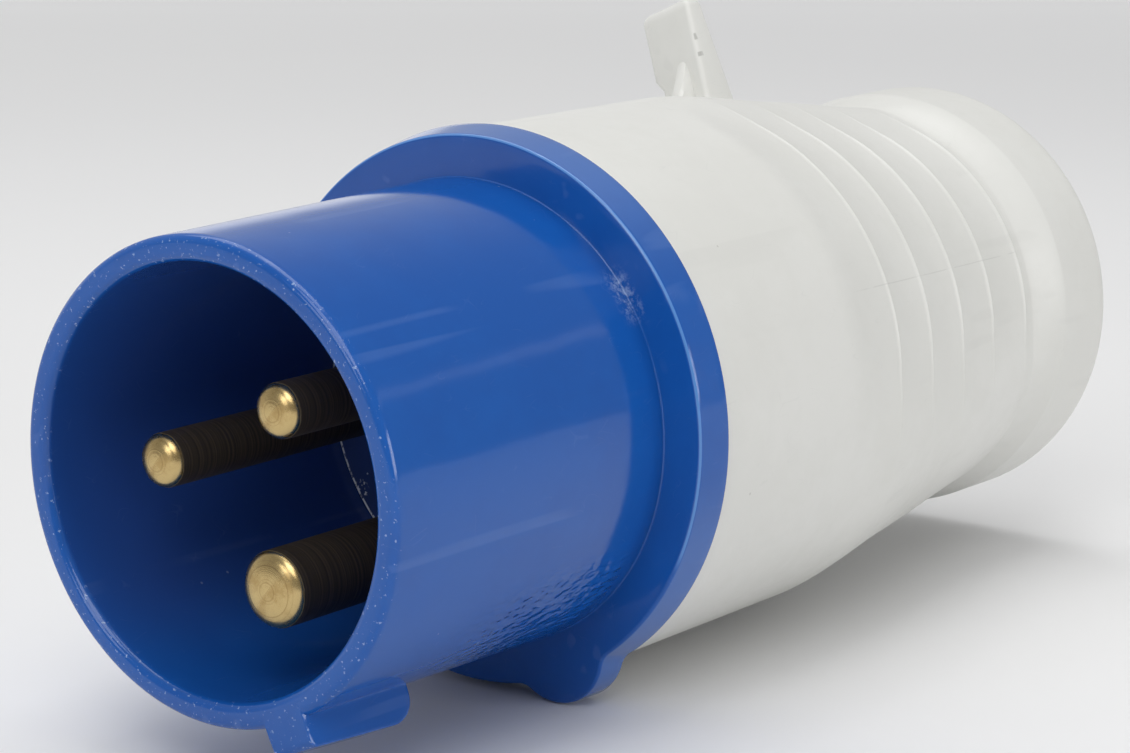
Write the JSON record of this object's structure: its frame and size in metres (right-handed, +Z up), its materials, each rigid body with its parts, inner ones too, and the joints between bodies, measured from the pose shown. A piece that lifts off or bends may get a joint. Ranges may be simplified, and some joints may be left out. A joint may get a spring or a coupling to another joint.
{
  "type": "industrial pin and sleeve plug",
  "caption": "Industrial pin and sleeve plug: blue shroud with flange, nose and key around brass pins, pale grey handle with ribbed side grips, a lid lug and a cable opening at the rear.",
  "frame": {"origin": "on the plug's axis, in the plane of the shroud's rim", "axes": "+X along the plug from the shroud's rim to the cable end, +Z up with the plug lying on its flange and the flange's nose"},
  "size_m": [0.1215, 0.0544, 0.0622],
  "materials": {
    "blue_housing": "satin moulded plastic",
    "blue_carrier": "matt moulded plastic",
    "light_grey_handle": "satin moulded plastic with a fine grain",
    "carrier_cover_grey": "matt moulded plastic",
    "clamp_grey": "matt moulded plastic",
    "pin_brass": "turned brass",
    "steel": "zinc plated steel",
    "seal_rubber": "black rubber",
    "bush_rubber": "black rubber"
  },
  "bodies": {
    "root": {"front_shell": "blue_housing", "contact_carrier": "blue_carrier", "carrier_cover": "carrier_cover_grey", "carrier_gasket": "seal_rubber", "carrier_lock_ring": "carrier_cover_grey", "cover_screw": "steel", "pin_line": "pin_brass", "pin_neutral": "pin_brass", "pin_earth": "pin_brass", "pole_pin_rings": "seal_rubber", "earth_pin_ring": "seal_rubber", "pole_terminal_screws": "steel", "earth_terminal_screw": "steel", "pole_pressure_plates": "steel", "earth_pressure_plate": "steel", "housing_seal": "seal_rubber", "handle": "light_grey_handle", "clamp_base": "clamp_grey", "clamp_bridge": "clamp_grey", "clamp_screws": "steel", "clamp_nuts": "steel", "bush_washer": "clamp_grey", "cable_bush": "bush_rubber"}
  },
  "joints": []
}
